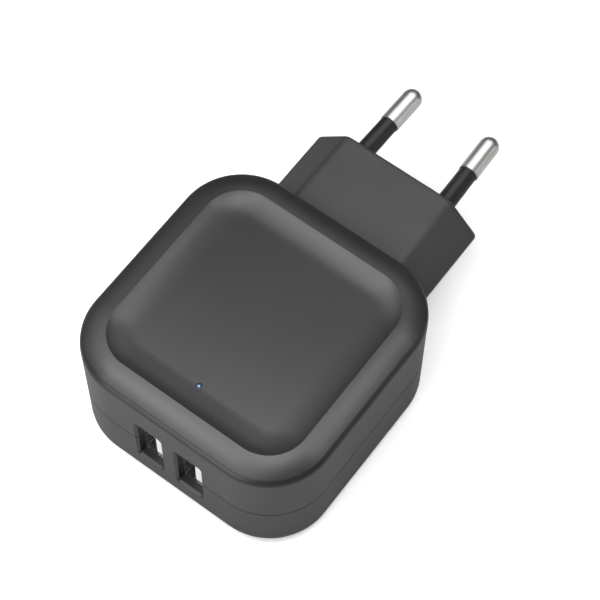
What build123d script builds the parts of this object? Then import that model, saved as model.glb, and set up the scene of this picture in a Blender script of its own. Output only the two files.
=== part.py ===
from build123d import *
from math import atan2, cos, degrees, radians, sin, sqrt
import os

os.makedirs("parts", exist_ok=True)

# Two-port USB wall charger for a European socket, in millimetres.
# The charger lies on its flat back: +Z is the normal of the dished face, the plug pins
# point along +Y and the USB ports open towards -Y. The origin is at the centre of the
# flat underside.

# ---------------------------------------------------------------- driving dimensions
# housing
body_width = 50.0
body_corner = 12.2
body_height = 28.9
parting_height = 13.4
base_fillet = 3.0
wall = 2.0
crown_overhang = 3.85
crown_fillet = 9.7
shoulder_fillet = 1.6
groove_height = 0.25
groove_depth = 0.4
lip_height = 1.2
lip_thickness = 1.0
lip_clearance = 0.05
lip_end_gap = 0.5
lip_port_gap = 2.0
ceiling_margin = 0.4

# dish in the front shell
dish_edge_half = 20.3
dish_depth = 1.65
dish_fillet = 8.9
dish_wall = 1.8

# plug block, a flat hexagon with 45 degree facets
plug_reach = 18.6
plug_axis_height = 14.6
plug_half_thickness = 6.7
plug_flat_half = 11.6
plug_ridge_round = 1.2
plug_facet_round = 2.5
plug_end_fillet = 0.8
plug_clearance = 0.1
plug_flange_margin = 1.4
plug_flange_width = 25.0
plug_flange_thickness = 1.9
saddle_thickness = 1.5
saddle_play = 0.1
plug_overrun = 0.4
plug_tab_margin = 1.0

# mains pins
pin_pitch = 18.6
pin_tip_pitch = 17.6
pin_length = 19.0
pin_radius = 2.0
pin_core_radius = 1.5
sleeve_length = 10.0
sleeve_radius = 1.9
sleeve_end_radius = 1.8
sleeve_socket_depth = 1.5
sleeve_socket_clearance = 0.1
pin_tail = 4.0
pin_collar_radius = 2.4
pin_collar_length = 1.2

# USB-A receptacles, standing on their long side
port_pitch = 8.7
port_height = 13.4
port_opening_width = 5.0
port_opening_length = 12.4
port_depth = 12.0
port_sheet = 0.3
port_recess = 1.75
window_width = 5.3
window_length = 12.7
window_bevel = 0.45
window_corner = 0.5
port_seat_play = 0.1
port_tab_offset = 4.0
port_tab_length = 2.0
port_tab_play = 0.15
tongue_thickness = 1.84
tongue_back_gap = 0.86
tongue_width = 11.1
tongue_setback = 0.15
tongue_root = 3.0
tongue_chamfer = 0.2
contact_setback = 1.0
contact_width = 1.0
contact_sheet = 0.25
contact_offsets = (-3.5, -1.0, 1.0, 3.5)
contact_leg_pitch = 1.1
contact_leg_width = 0.6
contact_leg_gap = 0.8

# light pipe and LED between the two receptacles
light_x = -0.35
light_y = -15.2
light_tip_radius = 0.55
light_rod_radius = 0.8
light_hole_clearance = 0.05
light_tip_round = 0.1
light_boss_wall = 0.6
light_boss_gap = 0.4
led_width = 0.8
led_length = 1.6
led_height = 0.6
led_chamfer = 0.1
led_gap = 0.3

# circuit board
board_thickness = 1.6
board_half_width = 22.0
board_corner = 9.5
board_front = -22.4
board_back = 18.2
lead_radius = 0.3
lead_hole_radius = 0.45
lead_stub = 1.0
lead_embed = 0.5
post_radius = 2.2
peg_radius = 1.1
peg_hole_radius = 1.2
post_positions = ((-19.3, 14.3), (19.3, 14.3), (-17.8, -17.8), (17.8, -17.8))

# how far a cutting or joining tool reaches past the face that it crosses
tool_reach = 1.0
join_overlap = 0.2

# ---------------------------------------------------------------- derived dimensions
half_body = body_width / 2
inner_half = half_body - wall
corner_centre = half_body - body_corner
inner_corner = body_corner - wall
crown_half = half_body + crown_overhang
crown_flat_half = crown_half - crown_fillet
edge_reach = dish_edge_half - crown_flat_half
crown_top = body_height + crown_fillet - sqrt(crown_fillet**2 - edge_reach**2)
shoulder_reach = half_body - crown_flat_half
shoulder_height = crown_top - crown_fillet + sqrt(crown_fillet**2 - shoulder_reach**2)
dish_floor = body_height - dish_depth
dish_inset = dish_fillet - sqrt(dish_fillet**2 - (dish_fillet - dish_depth) ** 2)
dish_half = dish_edge_half + dish_inset
dish_corner = dish_half - corner_centre
cavity_top = shoulder_height - ceiling_margin
ceiling = dish_floor - dish_wall

plug_ridge_half = plug_flat_half + plug_half_thickness
plug_end = half_body + plug_reach
flange_end = inner_half
flange_start = flange_end - plug_flange_thickness
saddle_end = flange_start - saddle_play
saddle_start = saddle_end - saddle_thickness
plug_start = saddle_start - plug_overrun
pin_tilt = degrees(atan2((pin_pitch - pin_tip_pitch) / 2, pin_length))

port_front = -half_body + port_recess
port_back = port_front + port_depth
port_shell_width = port_opening_width + 2 * port_sheet
port_shell_length = port_opening_length + 2 * port_sheet
tongue_offset = port_opening_width / 2 - tongue_back_gap - tongue_thickness / 2
board_top = port_height - port_shell_length / 2
board_bottom = board_top - board_thickness
sides = ((-1, "left"), (1, "right"))


def facing_ports(x, y, z):
    """Plane across the charger: local X is +X, local Y is +Z, the normal is -Y."""
    return Plane(origin=(x, y, z), x_dir=(1, 0, 0), z_dir=(0, -1, 0))


def pin_plane(side):
    """Plane at the plug's end face, square to one pin, with its normal along the pin."""
    lean = radians(pin_tilt)
    normal = (-side * sin(lean), cos(lean), 0)
    return Plane(origin=(side * pin_pitch / 2, plug_end, plug_axis_height), z_dir=normal)


def plug_section(margin):
    """Rounded hexagon of the plug block, grown by margin."""
    with BuildSketch() as section:
        Polygon(
            (-plug_ridge_half, 0),
            (-plug_flat_half, plug_half_thickness),
            (plug_flat_half, plug_half_thickness),
            (plug_ridge_half, 0),
            (plug_flat_half, -plug_half_thickness),
            (-plug_flat_half, -plug_half_thickness),
            align=None,
        )
        if margin:
            offset(amount=margin, kind=Kind.INTERSECTION)
        columns = section.vertices().group_by(Axis.X)
        fillet(columns[1] + columns[2], plug_facet_round)
        columns = section.vertices().group_by(Axis.X)
        fillet(columns[0] + columns[-1], plug_ridge_round)
    return section.sketch


# ---------------------------------------------------------------- housing
# Straight-sided block, met from above by a larger block with a big top round. The round
# starts inside the dish, so the rim already slopes outwards at the dish's edge, and the
# edge is the highest line of the charger.
with BuildPart() as crown:
    with BuildSketch(Plane.XY):
        RectangleRounded(2 * crown_half, 2 * crown_half, body_corner + crown_overhang)
    extrude(amount=crown_top)
    fillet(crown.faces().sort_by(Axis.Z)[-1].edges(), crown_fillet)

with BuildPart() as body:
    with BuildSketch(Plane.XY):
        RectangleRounded(body_width, body_width, body_corner)
    extrude(amount=crown_top)
    fillet(body.faces().sort_by(Axis.Z)[0].edges(), base_fillet)
    add(crown.part, mode=Mode.INTERSECT)
    shoulder = body.edges().filter_by_position(
        Axis.Z, shoulder_height - 0.05, shoulder_height + 0.05
    )
    fillet(shoulder, shoulder_fillet)

with BuildPart() as dish:
    with BuildSketch(Plane.XY.offset(dish_floor)):
        RectangleRounded(2 * dish_half, 2 * dish_half, dish_corner)
    extrude(amount=1.5 * dish_fillet)
    fillet(dish.faces().sort_by(Axis.Z)[0].edges(), dish_fillet)

# The cavity follows the dish from below, so the wall stays even.
with BuildPart() as dish_underside:
    with BuildSketch(Plane.XY.offset(ceiling)):
        RectangleRounded(
            2 * (dish_half + dish_wall), 2 * (dish_half + dish_wall), dish_corner + dish_wall
        )
    extrude(amount=1.5 * dish_fillet)
    fillet(dish_underside.faces().sort_by(Axis.Z)[0].edges(), dish_fillet + dish_wall)

with BuildPart() as cavity:
    with BuildSketch(Plane.XY.offset(wall)):
        RectangleRounded(2 * inner_half, 2 * inner_half, inner_corner)
    extrude(amount=cavity_top - wall)
    fillet(cavity.faces().sort_by(Axis.Z)[0].edges(), base_fillet / 2)
    fillet(cavity.faces().sort_by(Axis.Z)[-1].edges(), shoulder_fillet / 2)
    add(dish_underside.part, mode=Mode.SUBTRACT)

# Cross wall that holds the plug block's flange against the end wall.
with BuildPart() as saddle:
    with BuildSketch(facing_ports(0, saddle_end, body_height / 2)):
        Rectangle(body_width, body_height)
    extrude(amount=saddle_thickness)
    add(body.part, mode=Mode.INTERSECT)

with BuildPart() as plug_passage:
    with BuildSketch(facing_ports(0, saddle_start - tool_reach, plug_axis_height)):
        add(plug_section(plug_clearance))
    extrude(amount=-(body_width / 2))

# USB windows: bevelled mouth, straight throat and a seat for the metal shell.
with BuildPart() as port_windows:
    for side, name in sides:
        x = side * port_pitch / 2
        mouth = (window_width + 2 * window_bevel, window_length + 2 * window_bevel)
        with BuildSketch(facing_ports(x, -half_body + window_bevel, port_height)):
            RectangleRounded(window_width, window_length, window_corner)
        with BuildSketch(facing_ports(x, -half_body, port_height)):
            RectangleRounded(*mouth, window_corner + window_bevel)
        loft()
        with BuildSketch(facing_ports(x, -half_body, port_height)):
            RectangleRounded(*mouth, window_corner + window_bevel)
        extrude(amount=wall)
        with BuildSketch(facing_ports(x, -half_body, port_height)):
            RectangleRounded(window_width, window_length, window_corner)
        extrude(amount=-port_recess)
        with BuildSketch(facing_ports(x, port_front, port_height)):
            seat = (port_shell_width + 2 * port_seat_play, port_shell_length + 2 * port_seat_play)
            RectangleRounded(*seat, window_corner)
        extrude(amount=-wall)

with BuildPart() as housing:
    add(body.part)
    add(cavity.part, mode=Mode.SUBTRACT)
    add(saddle.part)
    add(plug_passage.part, mode=Mode.SUBTRACT)
    add(port_windows.part, mode=Mode.SUBTRACT)

# The shells part on a level plane that steps up to the plug's ridge at the plug end.
tab_half = plug_ridge_half + plug_tab_margin
with BuildPart() as rear_region:
    with BuildSketch(Plane.XY):
        Rectangle(2 * body_width, 2 * body_width)
    extrude(amount=parting_height)
    with BuildSketch(Plane.XY.offset(parting_height)):
        with Locations((0, (saddle_start + body_width) / 2)):
            Rectangle(2 * tab_half, body_width - saddle_start)
    extrude(amount=plug_axis_height - parting_height)

tab_cut = 2 * (tab_half + lip_end_gap)
port_cut = port_pitch + port_shell_width + 2 * lip_port_gap
with BuildPart() as lip_region:
    with BuildSketch(Plane.XY.offset(parting_height)):
        lip_outer = inner_half + lip_thickness
        RectangleRounded(2 * lip_outer, 2 * lip_outer, inner_corner + lip_thickness)
        RectangleRounded(2 * inner_half, 2 * inner_half, inner_corner, mode=Mode.SUBTRACT)
        with Locations((0, saddle_start + half_body)):
            Rectangle(tab_cut, body_width, mode=Mode.SUBTRACT)
        with Locations((0, -half_body)):
            Rectangle(port_cut, body_width / 4, mode=Mode.SUBTRACT)
    extrude(amount=lip_height)

with BuildPart() as lip_rebate:
    with BuildSketch(Plane.XY.offset(parting_height)):
        rebate_outer = lip_outer + lip_clearance
        RectangleRounded(2 * rebate_outer, 2 * rebate_outer, inner_corner + lip_thickness)
        RectangleRounded(2 * inner_half, 2 * inner_half, inner_corner, mode=Mode.SUBTRACT)
        with Locations((0, saddle_start + half_body)):
            Rectangle(tab_cut - 4 * lip_clearance, body_width, mode=Mode.SUBTRACT)
        with Locations((0, -half_body)):
            Rectangle(port_cut - 4 * lip_clearance, body_width / 4, mode=Mode.SUBTRACT)
    extrude(amount=lip_height + lip_clearance)

# Shadow groove along the parting line. It stops at the windows and at the plug step.
with BuildPart() as parting_groove:
    with BuildSketch(Plane.XY.offset(parting_height)):
        Rectangle(body_width + 2 * tool_reach, body_width + 2 * tool_reach)
        groove_inner = body_width - 2 * groove_depth
        RectangleRounded(
            groove_inner, groove_inner, body_corner - groove_depth, mode=Mode.SUBTRACT
        )
        with Locations((0, -half_body)):
            Rectangle(port_pitch, 4 * groove_depth, mode=Mode.SUBTRACT)
        with Locations((0, body_width)):
            Rectangle(tab_cut, body_width + 2 * wall, mode=Mode.SUBTRACT)
    extrude(amount=groove_height)

# ---------------------------------------------------------------- rear shell
with BuildPart() as rear_shell:
    add(housing.part)
    add(rear_region.part, mode=Mode.INTERSECT)
    add(lip_region.part)
    with BuildSketch(Plane.XY.offset(wall / 2)):
        with Locations(*post_positions):
            Circle(post_radius)
    extrude(amount=board_bottom - wall / 2)
    with BuildSketch(Plane.XY.offset(board_bottom)):
        with Locations(*post_positions):
            Circle(peg_radius)
    extrude(amount=board_thickness + peg_radius)
rear_shell.part.label = "rear_shell"
export_step(rear_shell.part, "parts/rear_shell.step")

# ---------------------------------------------------------------- front shell
boss_radius = light_rod_radius + light_boss_wall
boss_start = port_height + port_shell_length / 2 + light_boss_gap
boss_end = dish_floor - dish_wall / 3
with BuildPart() as front_shell:
    add(housing.part)
    add(rear_region.part, mode=Mode.SUBTRACT)
    add(lip_rebate.part, mode=Mode.SUBTRACT)
    add(parting_groove.part, mode=Mode.SUBTRACT)
    # hold-down posts over the board's pegs
    with BuildSketch(Plane.XY.offset(board_top)):
        with Locations(*post_positions):
            Circle(post_radius)
    extrude(amount=cavity_top + join_overlap - board_top)
    with BuildSketch(Plane.XY.offset(board_top)):
        with Locations(*post_positions):
            Circle(peg_hole_radius)
    extrude(amount=2 * peg_radius, mode=Mode.SUBTRACT)
    # collar that guides the light pipe
    with BuildSketch(Plane.XY.offset(boss_start)):
        with Locations((light_x, light_y)):
            Circle(boss_radius)
    extrude(amount=boss_end - boss_start)
    with BuildSketch(Plane.XY.offset(port_height)):
        with Locations((light_x, light_y)):
            Circle(light_rod_radius)
    extrude(amount=ceiling - port_height, mode=Mode.SUBTRACT)
    with BuildSketch(Plane.XY.offset(port_height)):
        with Locations((light_x, light_y)):
            Circle(light_tip_radius + light_hole_clearance)
    extrude(amount=body_height - port_height, mode=Mode.SUBTRACT)
    add(dish.part, mode=Mode.SUBTRACT)
front_shell.part.label = "front_shell"
export_step(front_shell.part, "parts/front_shell.step")

# ---------------------------------------------------------------- plug block
with BuildPart() as plug_body:
    with BuildSketch(facing_ports(0, plug_start, plug_axis_height)):
        add(plug_section(0))
    extrude(amount=plug_start - plug_end)
    fillet(plug_body.faces().sort_by(Axis.Y)[-1].edges(), plug_end_fillet)
    with BuildSketch(facing_ports(0, flange_start, plug_axis_height)):
        add(plug_section(plug_flange_margin))
        Rectangle(plug_flange_width, body_height, mode=Mode.INTERSECT)
    extrude(amount=-plug_flange_thickness)
    for side, name in sides:
        with BuildSketch(pin_plane(side).offset(tool_reach)):
            Circle(pin_core_radius)
        extrude(amount=-body_width, mode=Mode.SUBTRACT)
        with BuildSketch(pin_plane(side).offset(tool_reach)):
            Circle(sleeve_radius + sleeve_socket_clearance)
        extrude(amount=-sleeve_socket_depth - tool_reach, mode=Mode.SUBTRACT)
        with BuildSketch(pin_plane(side).offset(-plug_reach / 2)):
            Circle(pin_collar_radius)
        extrude(amount=-pin_collar_length, mode=Mode.SUBTRACT)
plug_body.part.label = "plug_body"
export_step(plug_body.part, "parts/plug_body.step")

# ---------------------------------------------------------------- pins and sleeves
tip_length = pin_length - sleeve_length
core_length = plug_end - plug_start + pin_tail
for side, name in sides:
    with BuildPart() as plug_pin:
        with BuildSketch(pin_plane(side).offset(-core_length)):
            Circle(pin_core_radius)
        extrude(amount=core_length + sleeve_length)
        with BuildSketch(pin_plane(side).offset(-plug_reach / 2)):
            Circle(pin_collar_radius)
        extrude(amount=-pin_collar_length)
        with BuildSketch(pin_plane(side).offset(sleeve_length)):
            Circle(pin_radius)
        extrude(amount=tip_length - pin_radius)
        with Locations(pin_plane(side).offset(pin_length - pin_radius)):
            Sphere(pin_radius)
    plug_pin.part.label = f"plug_pin_{name}"
    export_step(plug_pin.part, f"parts/plug_pin_{name}.step")

    with BuildPart() as pin_sleeve:
        with BuildSketch(pin_plane(side).offset(-sleeve_socket_depth)):
            Circle(sleeve_radius)
        with BuildSketch(pin_plane(side).offset(sleeve_length)):
            Circle(sleeve_end_radius)
        loft()
        with BuildSketch(pin_plane(side).offset(-sleeve_socket_depth)):
            Circle(pin_core_radius)
        extrude(amount=sleeve_socket_depth + sleeve_length, mode=Mode.SUBTRACT)
    pin_sleeve.part.label = f"pin_sleeve_{name}"
    export_step(pin_sleeve.part, f"parts/pin_sleeve_{name}.step")

# ---------------------------------------------------------------- mains contact springs
contact_strip = 2.4
contact_thickness = 0.4
tail_back = plug_start - 1.4
contact_x = pin_pitch / 2 + (plug_end - tail_back) * (pin_pitch - pin_tip_pitch) / 2 / pin_length
tail_underside = plug_axis_height - pin_core_radius
foot_length = 3.4
for side, name in sides:
    with BuildPart() as mains_contact:
        centre = side * contact_x
        with BuildSketch(Plane(origin=(centre, tail_back, 0), x_dir=(0, 1, 0), z_dir=(1, 0, 0))):
            low = board_top + contact_thickness / 2
            high = tail_underside - contact_thickness / 2
            with BuildLine() as strip_line:
                Polyline((-foot_length, low), (0, low), (0, high), (-foot_length / 2, high))
            trace(strip_line.line, line_width=contact_thickness)
        extrude(amount=contact_strip / 2, both=True)
    mains_contact.part.label = f"mains_contact_{name}"
    export_step(mains_contact.part, f"parts/mains_contact_{name}.step")

# ---------------------------------------------------------------- USB receptacles
tab_spots = (port_back - port_tab_offset / 2, port_back - 2 * port_tab_offset)
first_leg = port_back + contact_leg_gap
contact_legs = [first_leg + contact_leg_pitch * n for n in range(len(contact_offsets))]
contact_front = port_front + contact_setback
for side, name in sides:
    x = side * port_pitch / 2
    tongue_x = x + tongue_offset
    tongue_face = tongue_x - tongue_thickness / 2

    # folded sheet-metal shell with a closed back and two solder tabs
    with BuildPart() as usb_shell:
        with BuildSketch(facing_ports(x, port_back, port_height)):
            RectangleRounded(port_shell_width, port_shell_length, 2 * port_sheet)
            RectangleRounded(
                port_opening_width, port_opening_length, port_sheet, mode=Mode.SUBTRACT
            )
        extrude(amount=port_depth)
        with BuildSketch(Plane.XY.offset(board_bottom - lead_stub)):
            with Locations(*[(x, tab_y) for tab_y in tab_spots]):
                Rectangle(port_sheet * 2, port_tab_length)
        extrude(amount=board_thickness + lead_stub + port_sheet / 2)
    usb_shell.part.label = f"usb_shell_{name}"
    export_step(usb_shell.part, f"parts/usb_shell_{name}.step")

    # insulator: a root that fills the back of the shell and the tongue in front of it
    with BuildPart() as usb_tongue:
        with BuildSketch(facing_ports(x, port_back, port_height)):
            RectangleRounded(port_opening_width, port_opening_length, port_sheet)
        extrude(amount=tongue_root)
        with BuildSketch(facing_ports(tongue_x, port_back - tongue_root, port_height)):
            Rectangle(tongue_thickness, tongue_width)
        extrude(amount=port_depth - tongue_root - tongue_setback)
        chamfer(usb_tongue.faces().sort_by(Axis.Y)[0].edges(), tongue_chamfer)
        slot_length = port_back - contact_front
        slot_middle = (port_back + contact_front) / 2
        slot_x = tongue_face + contact_sheet / 2
        for offset_z in contact_offsets:
            with Locations((slot_x, slot_middle, port_height + offset_z)):
                Box(contact_sheet, slot_length, contact_width, mode=Mode.SUBTRACT)
    usb_tongue.part.label = f"usb_tongue_{name}"
    export_step(usb_tongue.part, f"parts/usb_tongue_{name}.step")

    # four contacts: each runs along the tongue, out of the back and down to the board
    with BuildPart() as usb_contacts:
        for leg_y, offset_z in zip(contact_legs, contact_offsets):
            z = port_height + offset_z
            sheet_x = tongue_face + contact_sheet / 2
            leg_back = leg_y + contact_leg_width / 2
            with Locations((sheet_x, (contact_front + leg_back) / 2, z)):
                Box(contact_sheet, leg_back - contact_front, contact_width)
            bottom = board_bottom - lead_stub
            with Locations((sheet_x, leg_y, (z + bottom) / 2)):
                Box(contact_sheet, contact_leg_width, z - bottom)
    usb_contacts.part.label = f"usb_contacts_{name}"
    export_step(usb_contacts.part, f"parts/usb_contacts_{name}.step")

# ---------------------------------------------------------------- status LED, light pipe
with BuildPart() as status_led:
    with BuildSketch(Plane.XY.offset(board_top)):
        with Locations((light_x, light_y)):
            Rectangle(led_width, led_length)
    extrude(amount=led_height)
    chamfer(status_led.faces().sort_by(Axis.Z)[-1].edges(), led_chamfer)
status_led.part.label = "status_led"
export_step(status_led.part, "parts/status_led.step")

rod_start = board_top + led_height + led_gap
with BuildPart() as light_pipe:
    with BuildSketch(Plane.XY.offset(rod_start)):
        with Locations((light_x, light_y)):
            Circle(light_rod_radius)
    extrude(amount=ceiling - rod_start)
    with BuildSketch(Plane.XY.offset(ceiling)):
        with Locations((light_x, light_y)):
            Circle(light_tip_radius)
    extrude(amount=dish_wall)
    fillet(light_pipe.faces().sort_by(Axis.Z)[-1].edges(), light_tip_round)
light_pipe.part.label = "light_pipe"
export_step(light_pipe.part, "parts/light_pipe.step")

# ---------------------------------------------------------------- board components
# Every through-hole piece has a lead plan: offsets of its leads from its own centre.
# The leads pass through holes in the board and end just below it.
lead_bottom = board_bottom - lead_stub
lead_top = board_top + lead_embed
through_holes = []
can_round = 0.4
bead_height = 1.4
bead_width = 0.6
bead_depth = 0.3
package_chamfer = 0.4
package_lead_half = 1.3


def lead_pins(centre, offsets, top):
    """Wire leads from top down through the board; remembers the holes they need."""
    spots = [(centre[0] + dx, centre[1] + dy) for dx, dy in offsets]
    through_holes.extend(spots)
    with BuildSketch(Plane.XY.offset(lead_bottom)) as wires:
        with Locations(*spots):
            Circle(lead_radius)
    extrude(wires.sketch, amount=top - lead_bottom)


def upright_can(centre, radius, height, lead_spacing, name):
    """Electrolytic capacitor: rolled can with a crimp groove, standing on the board."""
    with BuildPart() as can:
        with BuildSketch(Plane.XY.offset(board_top)):
            with Locations(centre):
                Circle(radius)
        extrude(amount=height)
        fillet(can.edges().filter_by(GeomType.CIRCLE), can_round)
        with BuildSketch(Plane.XY.offset(board_top + bead_height)):
            with Locations(centre):
                Circle(radius + tool_reach)
                Circle(radius - bead_depth, mode=Mode.SUBTRACT)
        extrude(amount=bead_width, mode=Mode.SUBTRACT)
        half = lead_spacing / 2
        lead_pins(centre, ((-half, 0), (half, 0)), lead_top)
    can.part.label = name
    export_step(can.part, f"parts/{name}.step")


def standing_disc(centre, radius, thickness, lift, name):
    """Disc component on edge, dipped in resin, with two leads."""
    with BuildPart() as disc:
        middle_z = board_top + lift + radius
        with BuildSketch(facing_ports(centre[0], centre[1] + thickness / 2, middle_z)):
            Circle(radius)
        extrude(amount=thickness)
        fillet(disc.edges().filter_by(GeomType.CIRCLE), thickness / 3)
        half = radius * 0.7
        lead_pins(centre, ((-half, 0), (half, 0)), middle_z - radius * 0.5)
    disc.part.label = name
    export_step(disc.part, f"parts/{name}.step")


def chip(centre, size, name, upper=True):
    """Flat surface-mounted package on the top or the bottom of the board."""
    base = board_top if upper else board_bottom - size[2]
    with BuildPart() as package:
        with BuildSketch(Plane.XY.offset(base)):
            with Locations(centre):
                Rectangle(size[0], size[1])
        extrude(amount=size[2])
        rim = package.faces().sort_by(Axis.Z)[-1 if upper else 0].edges()
        chamfer(rim, min(size) / 6)
    package.part.label = name
    export_step(package.part, f"parts/{name}.step")


def chip_row(centres, size, name):
    """Several identical chip parts on the bottom of the board, as separate solids."""
    with BuildPart() as row:
        with BuildSketch(Plane.XY.offset(board_bottom)):
            with Locations(*centres):
                Rectangle(size[0], size[1])
        extrude(amount=-size[2])
    row.part.label = name
    export_step(row.part, f"parts/{name}.step")


upright_can((14.8, 7.0), 4.0, 14.0, 3.5, "bulk_capacitor_1")
upright_can((14.8, -1.6), 4.0, 14.0, 3.5, "bulk_capacitor_2")
upright_can((11.2, -10.6), 3.15, 11.0, 2.5, "output_capacitor_1")
upright_can((11.2, -17.3), 3.15, 11.0, 2.5, "output_capacitor_2")
standing_disc((-15.4, 10.0), 3.5, 3.2, 1.0, "varistor")
standing_disc((4.2, -1.8), 3.5, 3.0, 1.0, "y_capacitor")
chip((-11.8, -14.9), (6.0, 5.0, 2.2), "output_rectifier")
chip((-10.4, -19.6), (3.0, 1.8, 1.1), "usb_charge_controller")
chip((-1.0, 4.4), (5.0, 4.0, 1.6), "power_controller", upper=False)
chip_row(((-8.0, -3.0), (-8.0, 0.0), (6.0, -13.0), (6.0, -16.0)), (1.6, 0.8, 0.5), "chip_resistors")
chip_row(((-4.0, -3.0), (-4.0, -5.5), (-6.0, -19.0)), (2.0, 1.25, 0.9), "chip_capacitors")

# bridge rectifier and optocoupler in dual-in-line packages
for name, centre, size, row_offset in (
    ("bridge_rectifier", (4.4, 11.6), (5.4, 5.0, 3.2), 1.6),
    ("optocoupler", (-12.6, -9.2), (6.2, 4.4, 3.4), 2.2),
):
    with BuildPart() as package:
        with BuildSketch(Plane.XY.offset(board_top)):
            with Locations(centre):
                Rectangle(size[0], size[1])
        extrude(amount=size[2])
        chamfer(package.faces().sort_by(Axis.Z)[-1].edges(), package_chamfer)
        corners = [
            (sx * row_offset, sy * package_lead_half) for sx in (-1, 1) for sy in (-1, 1)
        ]
        lead_pins(centre, corners, lead_top)
    package.part.label = name
    export_step(package.part, f"parts/{name}.step")

# fusible resistor: a dog-bone body lying on the board with its leads bent down
resistor_centre = (-5.4, 12.0)
resistor_radius = 1.6
resistor_length = 8.0
resistor_lift = 0.4
resistor_round = 0.5
resistor_lead_gap = 1.0
with BuildPart() as fusible_resistor:
    resistor_z = board_top + resistor_lift + resistor_radius
    with BuildSketch(
        Plane(
            origin=(resistor_centre[0] - resistor_length / 2, resistor_centre[1], resistor_z),
            z_dir=(1, 0, 0),
        )
    ):
        Circle(resistor_radius)
    extrude(amount=resistor_length)
    fillet(fusible_resistor.edges().filter_by(GeomType.CIRCLE), resistor_round)
    reach = resistor_length / 2 + resistor_lead_gap
    with Locations((resistor_centre[0], resistor_centre[1], resistor_z)):
        Cylinder(lead_radius, 2 * reach, rotation=(0, 90, 0))
    lead_pins(resistor_centre, ((-reach, 0), (reach, 0)), resistor_z + lead_radius)
fusible_resistor.part.label = "fusible_resistor"
export_step(fusible_resistor.part, "parts/fusible_resistor.step")

# filter choke: a drum core with its winding between the flanges
choke_centre = (6.0, 4.8)
choke_radius = 3.2
choke_height = 8.0
choke_flange = 1.0
choke_neck = 1.6
choke_lead_half = 2.0
choke_winding_inset = 0.4
with BuildPart() as choke_core:
    with Locations((choke_centre[0], choke_centre[1], board_top)):
        Cylinder(choke_radius, choke_flange, align=(Align.CENTER, Align.CENTER, Align.MIN))
        Cylinder(choke_neck, choke_height, align=(Align.CENTER, Align.CENTER, Align.MIN))
    with Locations((choke_centre[0], choke_centre[1], board_top + choke_height - choke_flange)):
        Cylinder(choke_radius, choke_flange, align=(Align.CENTER, Align.CENTER, Align.MIN))
    lead_pins(choke_centre, ((-choke_lead_half, 0), (choke_lead_half, 0)), lead_top)
choke_core.part.label = "choke_core"
export_step(choke_core.part, "parts/choke_core.step")

with BuildPart() as choke_winding:
    with BuildSketch(Plane.XY.offset(board_top + choke_flange)):
        with Locations(choke_centre):
            Circle(choke_radius - choke_winding_inset)
            Circle(choke_neck, mode=Mode.SUBTRACT)
    extrude(amount=choke_height - 2 * choke_flange)
choke_winding.part.label = "choke_winding"
export_step(choke_winding.part, "parts/choke_winding.step")

# transformer: a double-E core, a bobbin on its middle leg and the taped winding
core_centre = (-11.0, 1.0)
core_width = 16.0
core_depth = 5.0
core_height = 13.4
core_yoke = 2.2
core_leg = 4.4
core_lift = 1.4
core_base = board_top + core_lift
window_reach = core_width / 2 - core_yoke
bobbin_wall = 0.6
bobbin_flange = 0.8
bobbin_half_depth = 6.6
bobbin_play = 0.1
rail_depth = 3.2
bobbin_pin_inset = 1.2
bobbin_pin_columns = (-4.5, -1.5, 1.5, 4.5)
winding_inset = 0.4
winding_corner = 1.5
core_chamfer = 0.3
window_height = core_height - 2 * core_yoke
core_mid_height = core_base + core_height / 2
with BuildPart() as transformer_core:
    with BuildSketch(
        facing_ports(core_centre[0], core_centre[1] + core_depth / 2, core_mid_height)
    ):
        Rectangle(core_width, core_height)
        window_w = window_reach - core_leg / 2
        with Locations(
            (-(window_reach + core_leg / 2) / 2, 0), ((window_reach + core_leg / 2) / 2, 0)
        ):
            Rectangle(window_w, window_height, mode=Mode.SUBTRACT)
    extrude(amount=core_depth)
    chamfer(transformer_core.faces().sort_by(Axis.Z)[-1].edges(), core_chamfer)
transformer_core.part.label = "transformer_core"
export_step(transformer_core.part, "parts/transformer_core.step")

tube = (core_leg + 2 * bobbin_play, core_depth + 2 * bobbin_play)
tube_outside = (tube[0] + 2 * bobbin_wall, tube[1] + 2 * bobbin_wall)
bobbin_base = core_base + core_yoke
with BuildPart() as transformer_bobbin:
    with BuildSketch(Plane.XY.offset(bobbin_base)):
        with Locations(core_centre):
            Rectangle(*tube_outside)
    extrude(amount=window_height)
    for level in (bobbin_base, bobbin_base + window_height - bobbin_flange):
        with BuildSketch(Plane.XY.offset(level)):
            with Locations(core_centre):
                Rectangle(2 * (window_reach - bobbin_play), 2 * bobbin_half_depth)
        extrude(amount=bobbin_flange)
    # pin rails on both sides of the core
    for direction in (-1, 1):
        rail_y = core_centre[1] + direction * (bobbin_half_depth - rail_depth / 2)
        with BuildSketch(Plane.XY.offset(board_top)):
            with Locations((core_centre[0], rail_y)):
                Rectangle(2 * window_reach, rail_depth)
        extrude(amount=bobbin_base - board_top + bobbin_flange / 2)
    with BuildSketch(Plane.XY.offset(bobbin_base)):
        with Locations(core_centre):
            Rectangle(*tube)
    extrude(amount=window_height, mode=Mode.SUBTRACT)
    pin_row = bobbin_half_depth - bobbin_pin_inset
    bobbin_pins = [(dx, dy * pin_row) for dx in bobbin_pin_columns for dy in (-1, 1)]
    lead_pins(core_centre, bobbin_pins, lead_top)
transformer_bobbin.part.label = "transformer_bobbin"
export_step(transformer_bobbin.part, "parts/transformer_bobbin.step")

with BuildPart() as transformer_winding:
    with BuildSketch(Plane.XY.offset(bobbin_base + bobbin_flange)):
        with Locations(core_centre):
            RectangleRounded(
                2 * (window_reach - winding_inset),
                2 * (bobbin_half_depth - winding_inset),
                winding_corner,
            )
            Rectangle(*tube_outside, mode=Mode.SUBTRACT)
    extrude(amount=window_height - 2 * bobbin_flange)
transformer_winding.part.label = "transformer_winding"
export_step(transformer_winding.part, "parts/transformer_winding.step")

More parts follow.
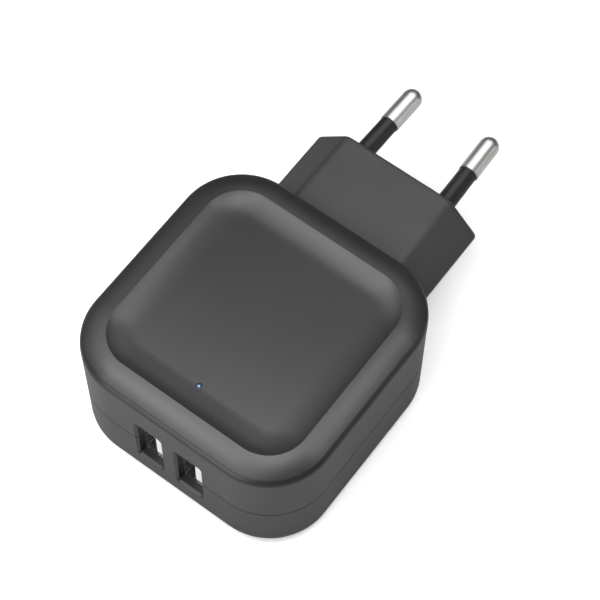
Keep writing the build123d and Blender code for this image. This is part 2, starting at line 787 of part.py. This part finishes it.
# ---------------------------------------------------------------- circuit board
with BuildPart() as main_board:
    with BuildSketch(Plane.XY.offset(board_bottom)):
        RectangleRounded(2 * board_half_width, 2 * board_half_width, board_corner)
        with Locations((0, board_back + half_body)):
            Rectangle(2 * body_width, 2 * half_body, mode=Mode.SUBTRACT)
        with Locations((0, board_front - half_body)):
            Rectangle(2 * body_width, 2 * half_body, mode=Mode.SUBTRACT)
        with Locations(*post_positions):
            Circle(peg_hole_radius, mode=Mode.SUBTRACT)
        with Locations(*through_holes):
            Circle(lead_hole_radius, mode=Mode.SUBTRACT)
        for side, name in sides:
            x = side * port_pitch / 2
            leg_x = x + tongue_offset - tongue_thickness / 2 + contact_sheet / 2
            with Locations(*[(leg_x, leg_y) for leg_y in contact_legs]):
                Circle(lead_hole_radius, mode=Mode.SUBTRACT)
            with Locations(*[(x, tab_y) for tab_y in tab_spots]):
                Rectangle(
                    2 * (port_sheet + port_tab_play),
                    port_tab_length + 2 * port_tab_play,
                    mode=Mode.SUBTRACT,
                )
    extrude(amount=board_thickness)
main_board.part.label = "main_board"
export_step(main_board.part, "parts/main_board.step")
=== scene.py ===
"""USB wall charger with two ports and a round-pin mains plug, on a pale studio floor.

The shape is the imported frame's. This script gives every CAD piece its finish, and adds the floor,
the lamps and the camera. Lengths are in millimetres unless a name says otherwise, and MM turns them
into the frame's metres.
"""

import math

import bpy
from mathutils import Matrix, Vector


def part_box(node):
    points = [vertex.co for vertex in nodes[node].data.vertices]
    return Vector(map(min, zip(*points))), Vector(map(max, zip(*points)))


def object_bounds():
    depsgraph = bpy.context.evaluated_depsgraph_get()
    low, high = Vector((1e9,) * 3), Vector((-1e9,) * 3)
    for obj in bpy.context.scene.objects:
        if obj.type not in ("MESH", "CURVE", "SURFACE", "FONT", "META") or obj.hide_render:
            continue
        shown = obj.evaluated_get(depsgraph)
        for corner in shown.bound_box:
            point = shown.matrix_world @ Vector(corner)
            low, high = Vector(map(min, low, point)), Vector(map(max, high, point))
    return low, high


MM = 0.001

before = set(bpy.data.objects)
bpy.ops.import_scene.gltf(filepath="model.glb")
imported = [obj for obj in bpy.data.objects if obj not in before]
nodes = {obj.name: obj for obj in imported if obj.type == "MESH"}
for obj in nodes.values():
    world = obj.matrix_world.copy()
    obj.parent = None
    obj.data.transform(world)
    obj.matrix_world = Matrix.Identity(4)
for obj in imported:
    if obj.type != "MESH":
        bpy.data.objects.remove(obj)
frame_low, frame_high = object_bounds()
scene = bpy.context.scene


# ---------------------------------------------------------------- node helpers
def new_finish(name, color, roughness, metallic=0.0):
    """A material with one Principled shader, and that shader."""
    material = bpy.data.materials.new(name)
    material.use_nodes = True
    shader = material.node_tree.nodes["Principled BSDF"]
    shader.inputs["Base Color"].default_value = (*color, 1.0)
    shader.inputs["Roughness"].default_value = roughness
    shader.inputs["Metallic"].default_value = metallic
    return material, shader


def place_coordinates(tree, stretch=(1.0, 1.0, 1.0)):
    """Coordinates fixed to the piece, stretched so that a pattern can run along it."""
    place = tree.nodes.new("ShaderNodeTexCoord")
    mapping = tree.nodes.new("ShaderNodeMapping")
    mapping.inputs["Scale"].default_value = stretch
    tree.links.new(place.outputs["Object"], mapping.inputs["Vector"])
    return mapping.outputs["Vector"]


def noise(tree, coordinates, size, detail=3.0):
    """Noise whose lumps are about size across."""
    texture = tree.nodes.new("ShaderNodeTexNoise")
    texture.inputs["Scale"].default_value = 1.0 / (size * MM)
    texture.inputs["Detail"].default_value = detail
    tree.links.new(coordinates, texture.inputs["Vector"])
    return texture.outputs["Fac"]


def spread(tree, value, low, high, start=0.3, end=0.7):
    """Turns start to end into low to high; start and end are noise's middle range if not given."""
    span = tree.nodes.new("ShaderNodeMapRange")
    span.inputs["From Min"].default_value = start
    span.inputs["From Max"].default_value = end
    span.inputs["To Min"].default_value = low
    span.inputs["To Max"].default_value = high
    tree.links.new(value, span.inputs["Value"])
    return span.outputs["Result"]


def tint(tree, shader, color, amount):
    """Multiplies the colour by a value that varies over the surface."""
    scaled = tree.nodes.new("ShaderNodeVectorMath")
    scaled.operation = "SCALE"
    scaled.inputs[0].default_value = color
    tree.links.new(amount, scaled.inputs["Scale"])
    tree.links.new(scaled.outputs["Vector"], shader.inputs["Base Color"])


def distance_from_axis(tree, point):
    """Distance from the upright line through a point of the frame, in metres."""
    place = tree.nodes.new("ShaderNodeTexCoord")
    offset = tree.nodes.new("ShaderNodeVectorMath")
    offset.operation = "SUBTRACT"
    offset.inputs[1].default_value = point
    tree.links.new(place.outputs["Object"], offset.inputs[0])
    flat = tree.nodes.new("ShaderNodeVectorMath")
    flat.operation = "MULTIPLY"
    flat.inputs[1].default_value = (1.0, 1.0, 0.0)
    tree.links.new(offset.outputs["Vector"], flat.inputs[0])
    reach = tree.nodes.new("ShaderNodeVectorMath")
    reach.operation = "LENGTH"
    tree.links.new(flat.outputs["Vector"], reach.inputs[0])
    return reach.outputs["Value"]


def relief(tree, shader, height, depth):
    """Bumps that stand depth above the surface where height is 1."""
    bump = tree.nodes.new("ShaderNodeBump")
    bump.inputs["Strength"].default_value = 1.0
    bump.inputs["Distance"].default_value = depth * MM
    tree.links.new(height, bump.inputs["Height"])
    tree.links.new(bump.outputs["Normal"], shader.inputs["Normal"])


def vary_roughness(tree, shader, value, roughness, less, more):
    """Roughness that follows a noise value, from less below to more above the given one."""
    swing = spread(tree, value, roughness - less, roughness + more)
    tree.links.new(swing, shader.inputs["Roughness"])


def dress(material, *names):
    """Puts the material on every slot of the named CAD pieces."""
    for name in names:
        for slot in nodes[name].material_slots:
            slot.material = material


# ---------------------------------------------------------------- finishes
CLOUD_GRAINS = 70  # a moulding's cloudy patches, in grains
DRAWN_STRETCH = 0.04  # noise this much slower along the drawing direction makes lines
STAIN_SIZE = 2.5
SPECK_PART = 1 / 8  # of a dipped coat's lumps
TURN_WANDER = 0.15
GROOVE_PAINTED_SHADE = 0.65  # painted shade between a winding's turns, and a painted highlight on them
CREST_PAINTED_HIGHLIGHT = 1.1
MASK_ROUGHNESS = 0.32
WEAVE_SIZE = 0.4
TRACK_DISORDER = 0.7
TRACK_EDGE_START = 0.38
TRACK_EDGE_END = 0.42
TRACK_RELIEF = 0.03
GLOWING_PART = 0.3  # of the light pipe's radius
POLISH_SIZE = 0.2
POLISH_DEPTH = 0.001


def spark_textured(name, color, roughness, grain=0.11, depth=0.0012, clouding=0.05, shine=0.42):
    """Moulded plastic with the fine grain that a spark-eroded mould leaves."""
    material, shader = new_finish(name, color, roughness)
    shader.inputs["Specular IOR Level"].default_value = shine
    tree = material.node_tree
    where = place_coordinates(tree)
    fine = noise(tree, where, grain)
    broad = noise(tree, where, CLOUD_GRAINS * grain, detail=2.0)
    tint(tree, shader, color, spread(tree, broad, 1 - clouding, 1 + clouding))
    vary_roughness(tree, shader, fine, roughness, less=0.04, more=0.04)
    relief(tree, shader, fine, depth)
    return material


def drawn_metal(name, color, roughness, along, grain=0.05, depth=0.0008, clouding=0.03):
    """Metal with faint lines that run along one axis of the part, as drawing or turning leaves."""
    material, shader = new_finish(name, color, roughness, metallic=1.0)
    tree = material.node_tree
    stretch = [DRAWN_STRETCH if axis == along else 1.0 for axis in "XYZ"]
    lines = noise(tree, place_coordinates(tree, stretch), grain, detail=4.0)
    stains = noise(tree, place_coordinates(tree), STAIN_SIZE, detail=2.0)
    tint(tree, shader, color, spread(tree, stains, 1 - clouding, 1 + clouding))
    vary_roughness(tree, shader, lines, roughness, less=0.05, more=0.05)
    relief(tree, shader, lines, depth)
    return material


def dipped(name, color, roughness, lump=0.8, depth=0.01, clouding=0.08):
    """Resin or lacquer with the soft unevenness of a dipped or shrunk coat."""
    material, shader = new_finish(name, color, roughness)
    tree = material.node_tree
    where = place_coordinates(tree)
    swell = noise(tree, where, lump, detail=2.0)
    specks = noise(tree, where, SPECK_PART * lump)
    tint(tree, shader, color, spread(tree, specks, 1 - clouding, 1 + clouding))
    vary_roughness(tree, shader, swell, roughness, less=0.04, more=0.06)
    relief(tree, shader, swell, depth)
    return material


def wound(name, color, roughness, coarseness, along, metallic):
    """Turns of wire or tape laid side by side along one axis, about 0.6 of coarseness apart."""
    material, shader = new_finish(name, color, roughness, metallic)
    tree = material.node_tree
    turns = tree.nodes.new("ShaderNodeTexWave")
    turns.bands_direction = along
    turns.inputs["Scale"].default_value = 0.5 / (coarseness * MM)
    turns.inputs["Distortion"].default_value = TURN_WANDER
    tree.links.new(place_coordinates(tree), turns.inputs["Vector"])
    wave = turns.outputs["Fac"]
    lacquer = noise(tree, place_coordinates(tree), 3 * coarseness)
    # Painted shade in the grooves between turns, and a painted highlight on their crests.
    tint(tree, shader, color, spread(tree, wave, GROOVE_PAINTED_SHADE, CREST_PAINTED_HIGHLIGHT, start=0.0, end=1.0))
    vary_roughness(tree, shader, lacquer, roughness, less=0.05, more=0.08)
    relief(tree, shader, wave, coarseness / 4)
    return material


def solder_mask(name, mask_color, track_color, track_pitch=1.6):
    """Green lacquer over a glass-fibre board, darker between the copper tracks."""
    material, shader = new_finish(name, mask_color, MASK_ROUGHNESS)
    tree = material.node_tree
    where = place_coordinates(tree)
    tracks = tree.nodes.new("ShaderNodeTexVoronoi")
    tracks.distance = "CHEBYCHEV"
    tracks.inputs["Scale"].default_value = 1.0 / (track_pitch * MM)
    tracks.inputs["Randomness"].default_value = TRACK_DISORDER
    tree.links.new(where, tracks.inputs["Vector"])
    blend = tree.nodes.new("ShaderNodeMix")
    blend.data_type = "RGBA"
    blend.inputs["A"].default_value = (*mask_color, 1.0)
    blend.inputs["B"].default_value = (*track_color, 1.0)
    edge = tracks.outputs["Distance"]
    step = spread(tree, edge, 0.0, 1.0, start=TRACK_EDGE_START, end=TRACK_EDGE_END)
    tree.links.new(step, blend.inputs["Factor"])
    tree.links.new(blend.outputs["Result"], shader.inputs["Base Color"])
    weave = noise(tree, where, WEAVE_SIZE)
    vary_roughness(tree, shader, weave, MASK_ROUGHNESS, less=0.06, more=0.06)
    relief(tree, shader, step, TRACK_RELIEF)
    return material


def lit_lens(name, deep, painted_glow_color, roughness=0.12, glow=0.4):
    """Clear light pipe with a painted glow and a painted highlight in its colour and emission,
    brightest on its axis.
    """
    low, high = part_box("light_pipe")
    axis = (low + high) / 2
    radius = (high.x - low.x) / 2
    material, shader = new_finish(name, deep, roughness)
    tree = material.node_tree
    reach = distance_from_axis(tree, axis)
    # Painted glow and highlight: the colour and the emission brighten towards the pipe's axis.
    painted_glow_core = spread(tree, reach, 1.0, 0.0, start=0.0, end=GLOWING_PART * radius)
    blend = tree.nodes.new("ShaderNodeMix")
    blend.data_type = "RGBA"
    blend.inputs["A"].default_value = (*deep, 1.0)
    blend.inputs["B"].default_value = (*painted_glow_color, 1.0)
    tree.links.new(painted_glow_core, blend.inputs["Factor"])
    tree.links.new(blend.outputs["Result"], shader.inputs["Base Color"])
    tree.links.new(blend.outputs["Result"], shader.inputs["Emission Color"])
    shader.inputs["Emission Strength"].default_value = glow
    polish = noise(tree, place_coordinates(tree), POLISH_SIZE)
    vary_roughness(tree, shader, polish, roughness, less=0.03, more=0.05)
    relief(tree, shader, polish, POLISH_DEPTH)
    return material


def dress_housing():
    """The two shells and the plug, in textured black plastic."""
    shell = spark_textured("shell_plastic", (0.016, 0.016, 0.0165), 0.38)
    dress(shell, "front_shell", "rear_shell")
    plug = spark_textured("plug_plastic", (0.033, 0.033, 0.034), 0.42)
    dress(plug, "plug_body")


def dress_pins():
    """Satin nickel pins with black sleeves."""
    nickel = drawn_metal("nickel", (0.86, 0.85, 0.83), 0.36, along="Y")
    dress(nickel, "plug_pin_left", "plug_pin_right")
    sleeve = spark_textured("sleeve_plastic", (0.012, 0.012, 0.0125), 0.36, grain=0.07)
    dress(sleeve, "pin_sleeve_left", "pin_sleeve_right")


def dress_ports():
    """Steel shells, white tongues and gold contacts."""
    steel = drawn_metal("port_steel", (0.45, 0.445, 0.435), 0.24, along="Y")
    dress(steel, "usb_shell_left", "usb_shell_right")
    tongue = spark_textured("tongue_plastic", (0.92, 0.92, 0.91), 0.38, grain=0.09, clouding=0.01)
    dress(tongue, "usb_tongue_left", "usb_tongue_right")
    gold = drawn_metal("gold", (0.83, 0.60, 0.26), 0.22, along="Y")
    dress(gold, "usb_contacts_left", "usb_contacts_right")


def dress_light():
    """The light pipe, and the LED under it."""
    lens = lit_lens("clear_plastic", (0.002, 0.010, 0.036), (0.34, 0.46, 0.66))
    dress(lens, "light_pipe")
    led = dipped("led_body", (0.75, 0.80, 0.82), 0.15, lump=0.5, depth=0.002)
    dress(led, "status_led")


def dress_board():
    """The board, the springs that bring it the mains, and the chip parts on it."""
    dress(solder_mask("board", (0.015, 0.10, 0.04), (0.03, 0.20, 0.08)), "main_board")
    bronze = drawn_metal("bronze", (0.62, 0.42, 0.24), 0.3, along="Y")
    dress(bronze, "mains_contact_left", "mains_contact_right")
    chips = spark_textured("chip_ceramic", (0.42, 0.33, 0.22), 0.5, grain=0.05, clouding=0.2)
    dress(chips, "chip_resistors", "chip_capacitors")
    epoxy = spark_textured("epoxy", (0.016, 0.016, 0.016), 0.5, grain=0.08)
    dress(epoxy, "bridge_rectifier", "optocoupler", "output_rectifier")
    dress(epoxy, "power_controller", "usb_charge_controller")


def dress_round_parts():
    """Capacitors, the varistor and the fusible resistor."""
    sleeve = dipped("can_sleeve", (0.02, 0.025, 0.06), 0.25)
    dress(sleeve, "bulk_capacitor_1", "bulk_capacitor_2")
    can = drawn_metal("polymer_can", (0.72, 0.72, 0.72), 0.25, along="Z")
    dress(can, "output_capacitor_1", "output_capacitor_2")
    dress(dipped("ceramic_blue", (0.03, 0.12, 0.42), 0.3), "varistor")
    dress(dipped("ceramic_green", (0.05, 0.22, 0.10), 0.3), "y_capacitor")
    dress(dipped("resistor_coat", (0.36, 0.42, 0.36), 0.45, lump=0.5), "fusible_resistor")


def dress_coils():
    """The choke and the transformer."""
    ferrite = spark_textured(
        "ferrite", (0.045, 0.043, 0.042), 0.6, grain=0.15, depth=0.008, clouding=0.15
    )
    dress(ferrite, "choke_core", "transformer_core")
    dress(spark_textured("bobbin_plastic", (0.02, 0.02, 0.021), 0.4), "transformer_bobbin")
    copper = wound("copper", (0.60, 0.24, 0.08), 0.28, coarseness=0.5, along="Z", metallic=1.0)
    dress(copper, "choke_winding")
    tape = wound("tape", (0.80, 0.60, 0.06), 0.3, coarseness=5.0, along="Z", metallic=0.0)
    dress(tape, "transformer_winding")


# ---------------------------------------------------------------- floor
SHEET_HALF = 3000
SHEET_ROUGHNESS = 0.9
FLOOR_WHITE = 0.9  # the sweep that the camera sees
FLOOR_DROP = 0.02  # just clear of the underside, so that the two faces don't coincide
NEAR_GLOW = 0.3  # keeps the shadows round the charger pale
FAR_GLOW = 1.0  # keeps the sweep white beyond the lamps' reach
GLOW_START = 90  # distances from the housing's middle
GLOW_END = 260
BOUNCE_GREY = 0.46  # what the charger sees in the floor's place, so that its walls stay dark
BOUNCE_DROP = 0.1


def add_sheet(name, grey, drop):
    """A level sheet under the charger, drop below its underside."""
    reach = SHEET_HALF * MM
    corners = [(-reach, -reach), (reach, -reach), (reach, reach), (-reach, reach)]
    mesh = bpy.data.meshes.new(name)
    level = frame_low.z - drop * MM
    mesh.from_pydata([(x, y, level) for x, y in corners], [], [range(len(corners))])
    sheet = bpy.data.objects.new(name, mesh)
    material, shader = new_finish(name, (grey, grey, grey), SHEET_ROUGHNESS)
    shader.inputs["Specular IOR Level"].default_value = 0.0
    mesh.materials.append(material)
    scene.collection.objects.link(sheet)
    return sheet, shader


def add_floor():
    """The white sweep that only the camera sees."""
    floor, paint = add_sheet("floor", FLOOR_WHITE, FLOOR_DROP)
    paint.inputs["Emission Color"].default_value = (1.0, 1.0, 1.0, 1.0)
    tree = floor.active_material.node_tree
    reach = distance_from_axis(tree, (0.0, 0.0, 0.0))
    glow = spread(tree, reach, NEAR_GLOW, FAR_GLOW, start=GLOW_START * MM, end=GLOW_END * MM)
    tree.links.new(glow, paint.inputs["Emission Strength"])
    floor.visible_diffuse = False
    floor.visible_glossy = False
    floor.visible_shadow = False


def add_bounce():
    """A greyer sheet under the floor, unseen, that throws the lamps' light up at the charger."""
    bounce = add_sheet("bounce", BOUNCE_GREY, BOUNCE_DROP)[0]
    bounce.visible_camera = False


# ---------------------------------------------------------------- light
PANEL_HEIGHT = 130
BODY_AIM = (0, 0, 15)
PIN_AIM = (9, 58, 15)


def add_softbox(name, place, aim, size, brightness):
    """A soft rectangular lamp that lights the scene but isn't seen itself.

    brightness is how bright its face looks, so that size and brightness can be set separately.
    """
    width, height = (length * MM for length in size)
    data = bpy.data.lights.new(name, "AREA")
    data.shape = "RECTANGLE"
    data.size = width
    data.size_y = height
    data.energy = math.pi * width * height * brightness
    lamp = bpy.data.objects.new(name, data)
    lamp.location = Vector(place) * MM
    lamp.rotation_mode = "QUATERNION"
    lamp.rotation_quaternion = (Vector(aim) - Vector(place)).to_track_quat("-Z", "Y")
    lamp.visible_camera = False
    scene.collection.objects.link(lamp)


def add_room():
    """A white room that the camera sees behind the floor, and that lights nothing."""
    world = bpy.data.worlds.new("room")
    world.use_nodes = True
    background = world.node_tree.nodes["Background"]
    background.inputs["Color"].default_value = (1.0, 1.0, 1.0, 1.0)
    background.inputs["Strength"].default_value = 1.0
    world.cycles_visibility.diffuse = False
    world.cycles_visibility.glossy = False
    scene.world = world


def add_panel(name, centre, size, brightness, drop=0):
    """A softbox overhead that faces straight down, drop below the others' level.

    Panels that overlap lie at different levels, because in one plane they give less than their sum.
    """
    x, y = centre
    add_softbox(name, (x, y, PANEL_HEIGHT - drop), (x, y, 0), size, brightness)


def add_key_lamps():
    """The main light: panels low over the port side, brightest towards its -X corner."""
    add_panel("key", (-10, -35), (110, 110), 3.7)
    add_panel("key_corner", (-38, -62), (54, 54), 5.4, drop=2)
    add_panel("key_back", (18, -8), (54, 54), 3.5, drop=4)
    add_panel("key_front", (-10, -120), (110, 60), 3.4)
    add_panel("key_left", (-95, -35), (60, 110), 1.8)
    add_panel("key_right", (75, -35), (60, 110), 0.6, drop=1)


def add_plug_lamps():
    """Panels over the plug end, and one low at the side that edges the pins."""
    add_panel("right_strip", (80, 40), (90, 50), 6.4)
    add_panel("rear_patch", (-20, 80), (60, 50), 1.1)
    add_panel("pin_strip", (-40, 114), (170, 26), 3.2)
    add_softbox("pin_side", (290, 175, 100), PIN_AIM, (140, 140), 0.9)


def add_fill_lamps():
    """Lamps further off: one into the ports, and weak ones behind and to the left."""
    add_softbox("port_fill", (-30, -260, 70), BODY_AIM, (160, 120), 4.6)
    add_softbox("back_high", (0, 300, 300), BODY_AIM, (300, 250), 0.35)
    add_softbox("left_high", (-300, 0, 280), BODY_AIM, (300, 250), 1.15)


# ---------------------------------------------------------------- camera
CAMERA_AZIMUTH = 35.86  # degrees, from -Y towards +X
CAMERA_ELEVATION = 62.90
CAMERA_ROLL = 0.92
CAMERA_DISTANCE = 361.6
CAMERA_AIM = Vector((0.76, 12.14, 17.84))
CAMERA_LENS = 121.5
SENSOR_WIDTH = 36.0
CAMERA_NEAR = 10
CAMERA_FAR = 4 * SHEET_HALF


def add_camera():
    """Looks down at the dished face, past the port side's +X corner."""
    azimuth = math.radians(CAMERA_AZIMUTH)
    elevation = math.radians(CAMERA_ELEVATION)
    roll = math.radians(CAMERA_ROLL)
    level = Vector((math.cos(azimuth), math.sin(azimuth), 0.0))
    heading = Vector((math.sin(azimuth), -math.cos(azimuth), 0.0))
    back = math.cos(elevation) * heading + math.sin(elevation) * Vector((0.0, 0.0, 1.0))
    rise = back.cross(level)
    right = math.cos(roll) * level + math.sin(roll) * rise
    up = back.cross(right)
    data = bpy.data.cameras.new("camera")
    data.lens = CAMERA_LENS
    data.sensor_width = SENSOR_WIDTH
    data.clip_start = CAMERA_NEAR * MM
    data.clip_end = CAMERA_FAR * MM
    camera = bpy.data.objects.new("camera", data)
    turn = Matrix((right, up, back)).transposed().to_4x4()
    camera.matrix_world = Matrix.Translation((CAMERA_AIM + CAMERA_DISTANCE * back) * MM) @ turn
    scene.collection.objects.link(camera)
    scene.camera = camera


dress_housing()
dress_pins()
dress_ports()
dress_light()
dress_board()
dress_round_parts()
dress_coils()
add_floor()
add_bounce()
add_room()
add_key_lamps()
add_plug_lamps()
add_fill_lamps()
add_camera()
scene.view_settings.view_transform = "Standard"
